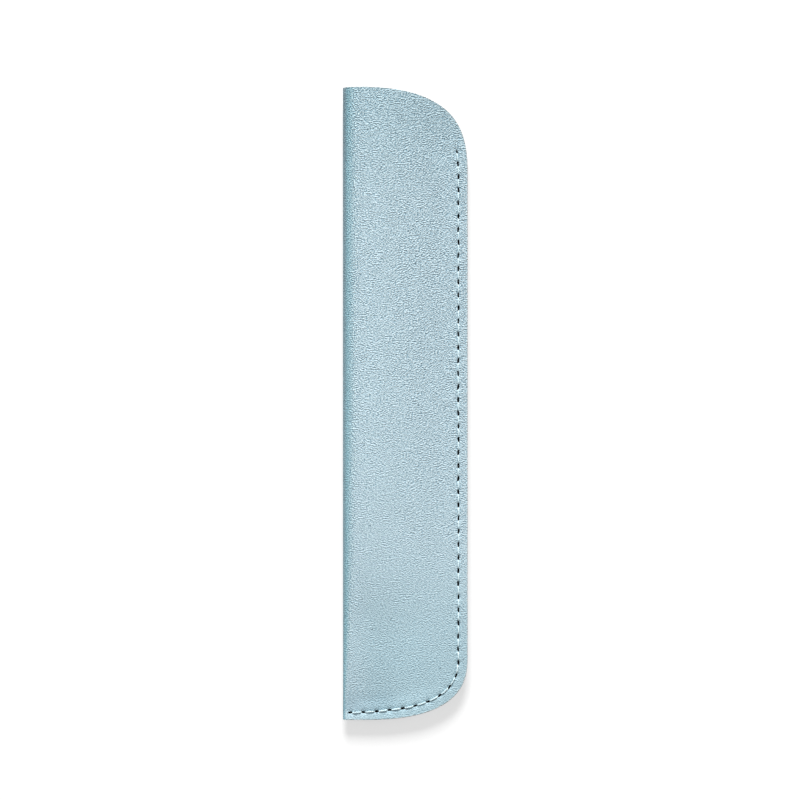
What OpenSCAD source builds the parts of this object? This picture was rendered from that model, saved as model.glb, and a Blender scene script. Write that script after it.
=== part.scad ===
// Single pen sleeve: one piece of coated leather with its lining, folded along the
// left side and lock-stitched across the closed end and up the right side.
// It lies on its back. X runs from the fold to the sewn edge, Y from the closed end
// to the mouth, and Z up through the front. The origin is under the middle.

/* [Sleeve] */
// Length from the closed end to the mouth
sleeve_l = 162; // [130:1:200]
// Width from the fold to the sewn edge
sleeve_w = 32; // [30:1:50]
// Thickness of the open pocket, at the mouth
pocket_h = 11.6; // [9:0.2:16]
// How far the round of the fold reaches across the front, at the mouth
fold_reach = 5.2; // [4.2:0.1:7]
// How soon the pocket opens above the closed end
opening_run = 30; // [15:1:60]

/* [Corners] */
// Width of the rounding at the mouth
mouth_corner_w = 31; // [10:0.5:31]
// Length of the rounding at the mouth
mouth_corner_l = 23.5; // [8:0.5:40]
// Squareness of the rounding at the mouth, where 2 is an ellipse
mouth_corner_n = 3; // [2:0.05:5]
// Width of the rounding at the closed end
end_corner_w = 28; // [10:0.5:29]
// Length of the rounding at the closed end
end_corner_l = 16.5; // [8:0.5:40]
// Squareness of the rounding at the closed end
end_corner_n = 2.65; // [2:0.05:5]

/* [Layers] */
// Thickness of the leather
skin_t = 0.9; // [0.6:0.05:1.4]
// Thickness of the lining
lining_t = 0.25; // [0.2:0.05:0.6]
// Thickness of the tape that holds the edges together for sewing
tape_t = 0.1; // [0.1:0.05:0.4]
// Width of the tape
tape_w = 3.6; // [3.4:0.1:4]

/* [Seam] */
// Distance of the stitches from the cut edge
seam_inset = 2.4; // [1.8:0.1:2.8]
// Distance of the first needle hole from the mouth
seam_start = 16; // [5:0.5:40]
// Distance of the last needle hole from the fold
seam_stop = 1.9; // [1.8:0.1:6]
// Length of one stitch
stitch_l = 3.38; // [2.4:0.02:6]
// Thickness of the thread
thread_d = 0.4; // [0.3:0.02:0.44]
// Width of a needle hole
needle_d = 1; // [0.96:0.02:1.3]
// Width of the edge that the seam presses flat
press_w = 4.2; // [4:0.1:6]
// Height of the pressed edge above what the sleeve lies on
seam_lift = 1.6; // [0.6:0.1:2.4]
// How far the front lip springs up above the seam's end
lip_rise = 1; // [0:0.1:2]

/* [Hidden] */

half_l = sleeve_l / 2;
half_w = sleeve_w / 2;
wall_t = skin_t + lining_t;
stack_t = 2 * wall_t + tape_t;

// A layer is lofted this much past its outline and then trimmed.
trim = 1;
// Length of pressed edge above the first needle hole
seam_tail = 1.5;
// Length over which the back settles flat, from the closed end
back_run = 24;
// Share of the back's width that lies flat, from the fold
back_flat = 0.7;
// Shares of the front's width that round off at the fold and at the seam
crown_blend = 0.4;
foot_blend = 0.22;
// Room round the two legs of a thread in a needle hole
hole_play = 0.05;
// Gap between the two threads where they meet in the middle of the layers
lock_gap = 0.06;
// Length over which a thread bends down into its hole
shoulder = 0.45;
// Distance of the tape from the inside of the fold
tape_margin = 0.3;
// Step for measuring a slope
probe = 0.001;

// Counts of the steps that the curved surfaces are made with
flank_steps = 8;
fold_steps = 12;
row_steps = 20;
lip_steps = 5;
corner_steps = 18;
seam_steps = 60;
thread_sides = 5;
// Above 1, rows crowd towards the closed end, where the sleeve bends most.
row_power = 1.7;

function mix(a, b, t) = a + (b - a) * t;
function clamped(t) = max(0, min(1, t));
function ease(t) = let(c = clamped(t)) c * c * (3 - 2 * c);
// A quarter of a superellipse, from 1 at t = 0 to 0 at t = 1
function bow(t, n) = pow(1 - pow(clamped(t), n), 1 / n);
// A straight descent from 1 to 0 that rounds off over its first share a and last share b
function descent(t, a, b) =
    let(
        c = clamped(t),
        fall = c < a ? c * c / (2 * a)
            : c < 1 - b ? c - a / 2
            : 1 - (a + b) / 2 - pow(1 - c, 2) / (2 * b)
    )
    1 - fall / (1 - (a + b) / 2);

// The two rounded corners, each no wider than the panel that it is cut from
mouth_w = min(mouth_corner_w, sleeve_w);
mouth_x = half_w - mouth_w;
mouth_y = half_l - mouth_corner_l;
end_w = min(end_corner_w, sleeve_w - stack_t);
end_x = half_w - end_w;
end_y = -half_l + end_corner_l;

// A quarter of a superellipse from the X axis to the Y axis, with w and l as its radii
function quarter(w, l, n) = [
    for (i = [0 : corner_steps])
        let(a = 90 * i / corner_steps)
        [w * pow(cos(a), 2 / n), l * pow(sin(a), 2 / n)]
];
// The corner at the closed end, drawn in by an inset, from the side to the bottom
function end_arc(inset) = [
    for (p = quarter(end_w - inset, end_corner_l - inset, end_corner_n))
        [end_x + p.x, end_y - p.y]
];
mouth_arc = [
    for (p = quarter(mouth_w, mouth_corner_l, mouth_corner_n))
        [mouth_x + p.x, mouth_y + p.y]
];

// The outline that both panels are cut to. On its left it stays clear of the fold.
module outline() {
    polygon(concat(
        [[-half_w - trim, half_l], [-half_w - trim, -half_l]],
        [for (i = [corner_steps : -1 : 0]) end_arc(0)[i]],
        mouth_arc
    ));
}

// The pocket is pinched at the closed end and opens towards the mouth.
press_y = -half_l + press_w;
lip_y = half_l - seam_start + seam_tail;
function opened(y) =
    let(d = max(0, y - press_y))
    1 - exp(-d * d / (d + press_w) / opening_run);
function settled(y) = ease((y - press_y) / back_run);
function parted(y) = ease((y - lip_y) / (half_l - lip_y));

// The fold is a half ellipse that stands on the back and carries the front.
function fold_low(y) = seam_lift * (1 - settled(y));
function fold_rise(y) = mix(stack_t, pocket_h, opened(y)) / 2;
function fold_depth(y) = mix(stack_t / 2, fold_reach, opened(y));
function crown_x(y) = -half_w + fold_depth(y);

// Across a panel, 0 is the crown beside the fold and 1 is where the pressed edge begins.
function press_x(y) =
    end_x + (end_w - press_w) * bow((end_y - y) / (end_corner_l - press_w), end_corner_n);
function across(x, y) = (x - crown_x(y)) / (press_x(y) - crown_x(y));
function back_z(x, y) =
    let(foot = seam_lift * (1 - parted(y)))
    mix(fold_low(y), foot, ease((across(x, y) - back_flat) / (1 - back_flat)));
function front_z(x, y) =
    let(foot = seam_lift + stack_t + lip_rise * parted(y), crown = fold_low(y) + 2 * fold_rise(y))
    mix(foot, crown, descent(across(x, y), crown_blend, foot_blend));

// Points of the back, the fold and the front, sunk by a depth square to the surface
function sunk(x, y, z, slope, depth) =
    let(k = depth / sqrt(1 + slope * slope))
    [x - slope * k, y, z + k];
function back_point(x, y, depth) =
    let(slope = (back_z(x + probe, y) - back_z(x - probe, y)) / (2 * probe))
    sunk(x, y, back_z(x, y), slope, depth);
function front_point(x, y, depth) =
    let(slope = (front_z(x + probe, y) - front_z(x - probe, y)) / (2 * probe))
    sunk(x, y, front_z(x, y), slope, -depth);
function fold_point(angle, y, depth) =
    let(
        rx = fold_depth(y),
        rz = fold_rise(y),
        square = [cos(angle) / rx, sin(angle) / rz],
        k = depth / norm(square)
    )
    [
        crown_x(y) - rx * cos(angle) + k * square.x,
        y,
        fold_low(y) + rz + rz * sin(angle) - k * square.y
    ];

// Round the sleeve at one y: along the back to the fold, round it and along the front
function station_x(i, y) =
    i == 0 ? half_w + trim : mix(press_x(y), crown_x(y), (i - 1) / flank_steps);
function section(y, depth) = concat(
    [for (i = [0 : flank_steps]) back_point(station_x(i, y), y, depth)],
    [for (i = [0 : fold_steps]) fold_point(mix(-90, 90, i / fold_steps), y, depth)],
    [for (i = [flank_steps : -1 : 0]) front_point(station_x(i, y), y, depth)]
);
rows = concat(
    [-half_l - trim, press_y],
    [for (i = [1 : row_steps]) mix(press_y, lip_y, pow(i / row_steps, row_power))],
    [for (i = [1 : lip_steps]) mix(lip_y, half_l + trim, i / lip_steps)]
);

// The faces of a closed wall between two grids of points, the outer grid first.
// The points of a face run clockwise as seen from outside.
function quad(a, b, c, d) = [[a, c, b], [a, d, c]];
function grid_faces(rows_n, row_n, start) = [
    for (r = [0 : rows_n - 2], s = [0 : row_n - 2])
        let(a = start + r * row_n + s)
        each quad(a, a + 1, a + row_n + 1, a + row_n)
];
function wall_faces(rows_n, row_n) =
    let(n = rows_n * row_n, last = n - row_n)
    concat(
        grid_faces(rows_n, row_n, 0),
        [for (f = grid_faces(rows_n, row_n, n)) [f[0], f[2], f[1]]],
        [for (a = [0 : row_n : last - 1]) each quad(a, a + row_n, n + a + row_n, n + a)],
        [for (a = [row_n - 1 : row_n : last - 1]) each quad(a, n + a, n + a + row_n, a + row_n)],
        [for (a = [0 : row_n - 2]) each quad(a, n + a, n + a + 1, a + 1)],
        [for (a = [last : n - 2]) each quad(a, a + 1, n + a + 1, n + a)]
    );

// One folded layer, between two depths under the outside of the sleeve
module folded_layer(from, to) {
    points = concat(
        [for (y = rows) each section(y, from)],
        [for (y = rows) each section(y, to)]
    );
    difference() {
        intersection() {
            polyhedron(points, wall_faces(len(rows), len(section(0, 0))), convexity = 6);
            translate([0, 0, -trim])
                linear_extrude(pocket_h + 2 * trim)
                    outline();
        }
        needle_holes();
    }
}

// The line of the seam: down the side, round the corner and across the closed end
seam_top = half_l - seam_start;
seam_end_x = -half_w + seam_stop;
function seam_side_x(y) =
    let(reach = mouth_corner_l - seam_inset)
    mouth_x + (mouth_w - seam_inset) * bow((y - mouth_y) / reach, mouth_corner_n);
function seam_low_y(x) =
    let(drop = end_corner_l - seam_inset)
    end_y - drop * bow((x - end_x) / (end_w - seam_inset), end_corner_n);
seam_line = concat(
    [for (i = [0 : seam_steps]) let(y = mix(seam_top, end_y, i / seam_steps)) [seam_side_x(y), y]],
    [for (p = end_arc(seam_inset)) if (p.y < end_y && p.x > seam_end_x) p],
    [[seam_end_x, seam_low_y(seam_end_x)]]
);
seam_runs = [for (i = [1 : len(seam_line) - 1]) norm(seam_line[i] - seam_line[i - 1])];
function sum_to(v, k) = k == 0 ? 0 : v[k - 1] + sum_to(v, k - 1);
seam_marks = [for (k = [0 : len(seam_runs)]) sum_to(seam_runs, k)];
seam_length = seam_marks[len(seam_runs)];
stitches = round(seam_length / stitch_l);

// The point at a distance along the seam
function along_seam(d) =
    let(k = max([for (i = [0 : len(seam_runs) - 1]) seam_marks[i] <= d ? i : 0]))
    mix(seam_line[k], seam_line[k + 1], (d - seam_marks[k]) / seam_runs[k]);
holes = [for (i = [0 : stitches]) along_seam(seam_length * i / stitches)];

module needle_holes() {
    for (p = holes)
        translate([p.x, p.y, 0])
            cylinder(d = needle_d, h = seam_lift + stack_t + trim, $fn = 24);
}

// A thread lies on the leather from hole to hole. In each hole it dives, turns just
// short of the middle of the layers, where the other thread meets it, and comes up.
thread_r = thread_d / 2;
leg = needle_d / 2 - thread_r - hole_play;
turn_low = thread_r + lock_gap / 2;
leg_low = turn_low + leg;
surface = stack_t / 2;
over = surface + thread_r;
middle_z = seam_lift + surface;

function toward(v) = v / norm(v);
function heading(i) = toward(holes[i + 1] - holes[i]);
function turn_heading(i) = toward(heading(i - 1) + heading(i));

// A ring of the thread near a hole, at a distance along the heading and a height over
// the middle of the layers. The side is 1 on the front and -1 on the back.
function ring(hole, heading, distance, height, slope, side) = [
    for (i = [0 : thread_sides - 1])
        let(
            a = side * 360 * (i + 0.5) / thread_sides,
            lift = thread_r * sin(a),
            p = hole + (distance - lift * sin(slope)) * heading
                + thread_r * cos(a) * [-heading.y, heading.x]
        )
        [p.x, p.y, middle_z + side * (height + lift * cos(slope))]
];
function turn_ring(i, side) = ring(holes[i], turn_heading(i), 0, turn_low, 0, side);
function stitch_rings(i, side) =
    let(h = heading(i), a = holes[i], b = holes[i + 1])
    [
        ring(a, h, leg, leg_low, 90, side),
        ring(a, h, leg, surface, 90, side),
        ring(a, h, leg + shoulder, over, 0, side),
        ring(b, h, -leg - shoulder, over, 0, side),
        ring(b, h, -leg, surface, -90, side),
        ring(b, h, -leg, leg_low, -90, side)
    ];
function thread_rings(side) = [
    for (i = [0 : stitches - 1])
        each concat(i == 0 ? [] : [turn_ring(i, side)], stitch_rings(i, side))
];
function tube_faces(rings_n, sides) = concat(
    [[for (s = [0 : sides - 1]) s]],
    [for (r = [0 : rings_n - 2], s = [0 : sides - 1])
        let(a = r * sides + s, b = r * sides + (s + 1) % sides)
        each quad(a, b, b + sides, a + sides)],
    [[for (s = [sides - 1 : -1 : 0]) (rings_n - 1) * sides + s]]
);
module thread(side) {
    rings = thread_rings(side);
    polyhedron([for (r = rings) each r], tube_faces(len(rings), thread_sides), convexity = 10);
}

module leather_skin() {
    color("lightsteelblue") folded_layer(0, skin_t);
}

module lining() {
    color("slategray") folded_layer(skin_t, wall_t);
}

// The tape follows the pressed edge, between the two halves of the lining.
module tape_outline() {
    start_x = -half_w + stack_t / 2 + tape_margin;
    inner_arc = end_arc(tape_w);
    intersection() {
        outline();
        polygon(concat(
            [[start_x, -half_l + tape_w]],
            [for (i = [corner_steps : -1 : 0]) inner_arc[i]],
            [[half_w - tape_w, lip_y], [half_w + trim, lip_y]],
            [[half_w + trim, -half_l - trim], [start_x, -half_l - trim]]
        ));
    }
}

module seam_tape() {
    color("ivory")
        difference() {
            translate([0, 0, seam_lift + wall_t])
                linear_extrude(tape_t)
                    tape_outline();
            needle_holes();
        }
}

module needle_thread() {
    color("aliceblue") thread(1);
}

module bobbin_thread() {
    color("aliceblue") thread(-1);
}

leather_skin();
lining();
seam_tape();
needle_thread();
bobbin_thread();
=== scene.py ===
# %% [markdown]
# A sleeve for one pen: one strip of coated leather with a thin lining, folded along its left side
# and lock-stitched across the closed end and up the right side.
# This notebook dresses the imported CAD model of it. The model comes in first and stays fixed: every
# piece made here takes its place and its sizes from that frame, in metres.
# The sleeve lies on its back. X runs from the fold to the sewn edge, Y from the closed end to the
# mouth and Z up through the front.

# %% Load the fixed frame
import math

import bpy
import numpy as np
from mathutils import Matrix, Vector
from mathutils.geometry import delaunay_2d_cdt


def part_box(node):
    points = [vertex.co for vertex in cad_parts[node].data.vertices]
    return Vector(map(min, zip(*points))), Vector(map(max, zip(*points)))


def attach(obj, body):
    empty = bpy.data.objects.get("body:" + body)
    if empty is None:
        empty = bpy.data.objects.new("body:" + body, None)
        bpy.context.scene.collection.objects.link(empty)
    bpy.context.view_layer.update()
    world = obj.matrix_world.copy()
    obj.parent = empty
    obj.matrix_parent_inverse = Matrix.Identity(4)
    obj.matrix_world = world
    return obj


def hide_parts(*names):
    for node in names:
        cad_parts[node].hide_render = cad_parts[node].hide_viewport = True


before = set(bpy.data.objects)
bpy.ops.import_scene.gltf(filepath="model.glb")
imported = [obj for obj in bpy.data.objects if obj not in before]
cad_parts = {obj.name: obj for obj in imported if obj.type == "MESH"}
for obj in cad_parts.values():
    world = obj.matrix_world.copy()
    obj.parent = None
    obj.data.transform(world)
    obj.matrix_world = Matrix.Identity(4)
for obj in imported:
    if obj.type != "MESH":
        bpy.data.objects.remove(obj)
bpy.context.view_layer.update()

MM = 0.001

# %% [markdown]
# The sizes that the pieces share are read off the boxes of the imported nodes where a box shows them:
# the lining starts one leather thickness inside the skin, and the tape lies in the middle of the
# sewn edge. What no box shows, such as the squareness of a corner, is written here once, as the
# sleeve's maker would have it on the cutting die.

# %% Read the sleeve's sizes
_, skin_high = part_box("leather_skin")
_, lining_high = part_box("lining")
tape_low, tape_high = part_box("seam_tape")

LINING = 0.25 * MM
SEAM_INSET = 2.4 * MM
THREAD = 0.4 * MM
PRESSED_EDGE = 4.2 * MM
FOLD_REACH = 5.2 * MM
OPENING_RUN = 30 * MM
BACK_RUN = 24 * MM
LIP_RISE = 1.0 * MM
SEAM_START = 16 * MM
SEAM_STOP = 1.9 * MM
SEAM_TAIL = 1.5 * MM
SEAM_DRIFT = 0.5 * MM
SEAM_DRIFT_RUN = 14 * MM
STITCH = 3.38 * MM
MOUTH_CORNER = {"width": 31 * MM, "length": 23.5 * MM, "squareness": 3}
END_CORNER = {"width": 28 * MM, "length": 16.5 * MM, "squareness": 2.65}

half_w, half_l = skin_high.x, skin_high.y
leather_t = skin_high.z - lining_high.z
stack_t = 2 * (leather_t + LINING) + tape_high.z - tape_low.z
seam_lift = tape_low.z - leather_t - LINING
front_z = seam_lift + stack_t
press_y = -half_l + PRESSED_EDGE
lip_y = half_l - SEAM_START + SEAM_TAIL
print(f"leather {leather_t / MM:.2f} mm thick, sewn edge {stack_t / MM:.2f} mm thick")
print(f"sewn edge from {seam_lift / MM:.2f} to {front_z / MM:.2f} mm above the table")

# %% [markdown]
# Blender's node trees do arithmetic one node at a time, which is slow to write and hard to read.
# One small class wraps a socket, so that a formula on sockets reads like a formula on numbers and
# adds its own Math nodes. One method makes every other kind of node.

# %% Write node trees as formulas
class Wire:
    """One output socket of a node tree, or the tree itself while nothing is on it yet."""

    def __init__(self, tree, socket=None):
        self.tree = tree
        self.socket = socket

    def add(self, kind, settings=None, inputs=None, output=0):
        """Adds a node: its settings first, then the value or the wire of each named socket."""
        made = self.tree.nodes.new(kind)
        for name, value in (settings or {}).items():
            setattr(made, name, value)
        for name, value in (inputs or {}).items():
            if isinstance(value, Wire):
                self.tree.links.new(value.socket, made.inputs[name])
            else:
                made.inputs[name].default_value = value
        return Wire(self.tree, made.outputs[output])

    def math(self, operation, *values):
        return self.add("ShaderNodeMath", {"operation": operation}, dict(enumerate(values)))

    def __add__(self, other):
        return self.math("ADD", self, other)

    def __sub__(self, other):
        return self.math("SUBTRACT", self, other)

    def __rsub__(self, other):
        return self.math("SUBTRACT", other, self)

    def __mul__(self, other):
        return self.math("MULTIPLY", self, other)

    def __truediv__(self, other):
        return self.math("DIVIDE", self, other)

    def __rtruediv__(self, other):
        return self.math("DIVIDE", other, self)

    def __pow__(self, other):
        return self.math("POWER", self, other)

    def __neg__(self):
        return self.math("MULTIPLY", self, -1)

    __radd__ = __add__
    __rmul__ = __mul__


# %% [markdown]
# The sleeve's shape is worked out twice: in Python, where its pattern is laid out flat, and in a
# tree, where the pattern is folded. Both have to agree, so both use the same formulas. `calculate`
# looks at what it is given, and either adds a node or works on plain arrays.

# %% Run the same formulas on arrays
ON_ARRAYS = {
    "MINIMUM": np.minimum,
    "MAXIMUM": np.maximum,
    "EXPONENT": np.exp,
    "COSINE": np.cos,
    "SINE": np.sin,
    "SQRT": np.sqrt,
    "ABSOLUTE": np.abs,
    "GREATER_THAN": lambda a, b: 1.0 * (a > b),
}


def calculate(operation, *values):
    wires = [value for value in values if isinstance(value, Wire)]
    return wires[0].math(operation, *values) if wires else ON_ARRAYS[operation](*values)


def clamped(t):
    return calculate("MINIMUM", calculate("MAXIMUM", t, 0), 1)


def ease(t):
    c = clamped(t)
    return c * c * (3 - 2 * c)


def blend(a, b, share):
    return a + (b - a) * share


def ramp(value, start, full):
    """0 up to the start, 1 from the full value on and eased between, whichever of them is larger."""
    return ease((value - start) / (full - start))


def vector_math(operation, *values):
    first = next(value for value in values if isinstance(value, Wire))
    return first.add("ShaderNodeVectorMath", {"operation": operation}, dict(enumerate(values)))


def scaled(vector, factor):
    return vector.add("ShaderNodeVectorMath", {"operation": "SCALE"}, {0: vector, "Scale": factor})


def separated(vector):
    """The x, the y and the z of a vector."""
    node = vector.add("ShaderNodeSeparateXYZ", None, {0: vector}).socket.node
    return [Wire(vector.tree, output) for output in node.outputs]


# %% [markdown]
# The pocket is a rule, not a drawing: the fold is a half ellipse that is pinched at the closed end
# and opens towards the mouth, the back settles flat on the table, and the front slopes down from
# the fold's crown to the pressed edge. These few functions are that rule. `station` says where a
# point is round the sleeve: 0 in the middle of the fold, 1 on the front's crown and one more for
# every centimetre of panel beyond it, with the back as the same numbers below zero.

# %% Describe the folded shape
STATION_RUN = 10 * MM
CROWN_BLEND = 0.4
FOOT_BLEND = 0.22
BACK_FLAT = 0.7

opened_at_mouth = 1 - math.exp(
    -((half_l - press_y) ** 2) / (half_l - press_y + PRESSED_EDGE) / OPENING_RUN
)
SHAPE = {
    "Half width": half_w,
    "Pocket height": stack_t + (skin_high.z - stack_t) / opened_at_mouth,
    "Fold reach": FOLD_REACH,
    "Opening run": OPENING_RUN,
    "Stack": stack_t,
    "Seam lift": seam_lift,
    "Lip rise": LIP_RISE,
    "Pressed edge": PRESSED_EDGE,
}


def corner_reach(t, squareness):
    """How far out a rounded corner reaches, from 1 where it starts to 0 where it ends."""
    return (1 - clamped(t) ** squareness) ** (1 / squareness)


def slope_down(t, first, last):
    """A straight descent from 1 to 0 that rounds off over its first and its last share."""
    c = clamped(t)
    start = calculate("MINIMUM", c, first)
    middle = calculate("MAXIMUM", c - first, 0)
    end = calculate("MAXIMUM", c - (1 - last), 0)
    fall = start * start / (2 * first) + middle - end * end / (2 * last)
    return 1 - fall / (1 - (first + last) / 2)


def along_sleeve(y, shape):
    """What the section needs to know at one y: the fold's size and place, and the two feet."""
    past = calculate("MAXIMUM", y - press_y, 0)
    reach = past * past / (past + shape["Pressed edge"]) / shape["Opening run"]
    opened = 1 - calculate("EXPONENT", -1 * reach)
    settled = ease(past / BACK_RUN)
    parted = ease((y - lip_y) / (half_l - lip_y))
    width, length = END_CORNER["width"], END_CORNER["length"]
    drop = (-half_l + length - y) / (length - shape["Pressed edge"])
    depth = blend(shape["Stack"] / 2, shape["Fold reach"], opened)
    return {
        "depth": depth,
        "rise": blend(shape["Stack"], shape["Pocket height"], opened) / 2,
        "low": shape["Seam lift"] * (1 - settled),
        "crown": depth - shape["Half width"],
        "press": shape["Half width"] - width
        + (width - shape["Pressed edge"]) * corner_reach(drop, END_CORNER["squareness"]),
        "front foot": shape["Seam lift"] + shape["Stack"] + shape["Lip rise"] * parted,
        "back foot": shape["Seam lift"] * (1 - parted),
    }


def section(station, at):
    """The x and z of a point on the outside of the sleeve."""
    turn = calculate("MINIMUM", calculate("MAXIMUM", station, -1), 1) * (math.pi / 2)
    reach = calculate("MAXIMUM", calculate("ABSOLUTE", station) - 1, 0) * STATION_RUN
    across = reach / (at["press"] - at["crown"])
    front = calculate("GREATER_THAN", station, 0)
    base = at["low"] + at["rise"] * (1 + calculate("SINE", turn))
    front_drop = 1 - slope_down(across, CROWN_BLEND, FOOT_BLEND)
    back_lift = ease((across - BACK_FLAT) / (1 - BACK_FLAT))
    foot = blend(at["back foot"], at["front foot"], front)
    x = at["crown"] - at["depth"] * calculate("COSINE", turn) + reach
    return x, base + (foot - base) * blend(back_lift, front_drop, front)


top = section(np.array([1.0]), along_sleeve(half_l, SHAPE))[1][0]
print(f"crown at the mouth {top / MM:.3f} mm up, {skin_high.z / MM:.3f} mm in the frame")

# %% [markdown]
# Leather goods start as a flat pattern, and so does this mesh: the outline is cut flat, filled
# with triangles and only folded later. A pattern could be one grid trimmed with a boolean, but the
# trimmed edge would be ragged. So the two lines that count are drawn first: the cut edge, and the
# seam that runs inside it at a steady inset. Both corners are quarters of a superellipse, whose
# curve starts gently, as the sleeve's own corners do.

# %% Draw the cut edge and the seam line
LINE_STEPS = 400
EDGE_STEP = 0.45 * MM


def corner(size, inset, end):
    """A rounded corner drawn in by an inset, from the side on. The end is 1 at the mouth, else -1."""
    angle = np.linspace(0, math.pi / 2, LINE_STEPS)
    power = 2 / size["squareness"]
    x = (size["width"] - inset) * np.cos(angle) ** power
    y = (size["length"] - inset) * np.sin(angle) ** power
    return np.column_stack([half_w - size["width"] + x, end * (half_l - size["length"] + y)])


def crown_x(y):
    return along_sleeve(y, SHAPE)["crown"]


def resampled(line, step):
    """The same line with points an even step apart."""
    marks = np.concatenate([[0], np.cumsum(np.hypot(*np.diff(line, axis=0).T))])
    places = np.linspace(0, marks[-1], round(marks[-1] / step) + 1)
    return np.column_stack([np.interp(places, marks, line[:, k]) for k in (0, 1)])


def cut_edge():
    """The panel's cut edge, from the crown at the closed end round to the crown at the mouth."""
    line = np.vstack([corner(END_CORNER, 0, -1)[::-1], corner(MOUTH_CORNER, 0, 1)])
    line = line[line[:, 0] > [crown_x(y) for y in line[:, 1]]]
    ends = [[crown_x(y), y] for y in (-half_l, line[-1, 1])]
    return resampled(np.vstack([ends[:1], line, ends[1:]]), EDGE_STEP)


def seam_line():
    """The line that the needle follows, from the first stitch down and round to the fold."""
    reach = MOUTH_CORNER["length"] - SEAM_INSET
    y = np.linspace(half_l - SEAM_START, -half_l + END_CORNER["length"], LINE_STEPS)
    beyond = (y - half_l + MOUTH_CORNER["length"]) / reach
    side_w = MOUTH_CORNER["width"] - SEAM_INSET
    x = half_w - MOUTH_CORNER["width"] + side_w * corner_reach(beyond, MOUTH_CORNER["squareness"])
    low = corner(END_CORNER, SEAM_INSET, -1)
    stop = [-half_w + SEAM_STOP, low[-1, 1]]
    line = np.vstack([np.column_stack([x, y]), low[1:], [stop]])
    past = np.clip(1 - (line[:, 0] - stop[0]) / SEAM_DRIFT_RUN, 0, 1)
    line[:, 1] -= SEAM_DRIFT * past * (line[:, 1] < 0)
    return resampled(line, EDGE_STEP)


EDGE = cut_edge()
SEAM = seam_line()
seam_length = np.hypot(*np.diff(SEAM, axis=0).T).sum()
stitches = round(seam_length / STITCH)
print(f"cut edge {len(EDGE)} points, seam {seam_length / MM:.1f} mm, {stitches} stitches")

# %% [markdown]
# Three questions come up again and again while a flat pattern is filled: which way is out from a
# line, how far is a point from it, and does the point lie inside a closed loop of lines. Each has
# a short answer with arrays.

# %% Measure from lines
def normals(line):
    """Unit vectors that point to the right of a line's direction."""
    ahead = np.gradient(line, axis=0)
    ahead /= np.hypot(*ahead.T)[:, None]
    return np.column_stack([ahead[:, 1], -ahead[:, 0]])


def nearest(points, line):
    """The distance from each point to the nearest point of a line."""
    gaps = [np.hypot(*(line - point).T).min() for point in points]
    return np.array(gaps)


def within(points, loop):
    """Whether each point lies inside a closed loop, by counting the edges to its right."""
    a, b = loop, np.roll(loop, -1, axis=0)
    found = []
    for x, y in points:
        spans = (a[:, 1] > y) != (b[:, 1] > y)
        crossing = a[spans, 0] + (y - a[spans, 1]) * (b[spans, 0] - a[spans, 0]) / (
            b[spans, 1] - a[spans, 1]
        )
        found.append((crossing > x).sum() % 2 == 1)
    return np.array(found)


# %% [markdown]
# Rings of points follow the cut edge, rows of points follow the seam, and a plain grid of staggered
# points fills the rest. `delaunay_2d_cdt` joins them all with triangles that are close to even, so
# the folded surface bends smoothly and the seam has points where the thread will pull it down.

# %% Fill the panel with triangles
RING_INSETS = np.array([0.03, 0.07, 0.14, 0.3, 0.55]) * MM
SEAM_STEP = 0.3 * MM
SEAM_LINES = np.array([0, 0.2, 0.42, 0.7, 1.05]) * MM
FOLD_TURNS = 28
LEATHER_STEP = 0.8 * MM
LINING_STEP = 1.2 * MM
INSIDE_THE_LOOP = 1
SAME_POINT = 1e-6


def fold_rows(step):
    """The y of each row round the fold, with the rings' own rows at both ends."""
    low, high = EDGE[0, 1], EDGE[-1, 1]
    inner = np.linspace(low + 2 * step, high - 2 * step, round((high - low) / step) - 3)
    insets = np.concatenate([[0], RING_INSETS])
    return np.concatenate([low + insets, inner, high - insets[::-1]])


def panel(step, with_seam):
    """A flat panel: its points, its triangles and each point's distance from the cut edge."""
    rows = fold_rows(step)
    crown = np.column_stack([[crown_x(y) for y in rows], rows])
    outward = normals(EDGE)
    outward[0], outward[-1] = (0, -1), (0, 1)
    rings = [(EDGE - inset * outward)[1:-1] for inset in RING_INSETS]
    lines = []
    if with_seam:
        needle = resampled(SEAM, SEAM_STEP)
        aside = normals(needle)
        lines = [needle + side * gap * aside for gap in SEAM_LINES for side in (-1, 1)]
        lines = lines[1:]
    x, y = np.meshgrid(
        np.arange(-half_w, half_w, step), np.arange(-half_l + step, half_l, step)
    )
    grid = np.column_stack([(x + step / 2 * (np.arange(len(x)) % 2)[:, None]).ravel(), y.ravel()])
    grid = grid[grid[:, 0] > np.array([crown_x(v) for v in grid[:, 1]]) + step / 2]
    boundary = np.vstack([EDGE, crown[1:-1][::-1]])
    room = step / 3
    kept = (nearest(grid, EDGE) > RING_INSETS[-1] + room) & within(grid, boundary)
    if with_seam:
        kept &= nearest(grid, SEAM) > SEAM_LINES[-1] + room
    points = np.vstack([boundary, *rings, *lines, grid[kept]])
    loop = list(range(len(boundary)))
    filled = delaunay_2d_cdt(
        [Vector(p / MM) for p in points], [], [loop], INSIDE_THE_LOOP, SAME_POINT
    )
    flat = points[[sources[0] for sources in filled[3]]]
    return flat, np.array(filled[2]), nearest(flat, EDGE), rows


fine_panel = panel(LEATHER_STEP, True)
coarse_panel = panel(LINING_STEP, False)
for name, made in (("leather", fine_panel), ("lining", coarse_panel)):
    print(f"{name} panel: {len(made[0])} points, {len(made[1])} triangles")

# %% [markdown]
# Two panels and the strip between them make the whole pattern, with the fold down its middle. It
# could be joined from three meshes, but one welded sheet has no seam to hide, and its flat
# coordinates serve as a UV map: the grain runs round the fold without a break, as it does on the
# real strip.

# %% Lay out the whole pattern
ON_THE_CROWN = 1e-4 * MM
WELD_DECIMALS = 3


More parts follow.
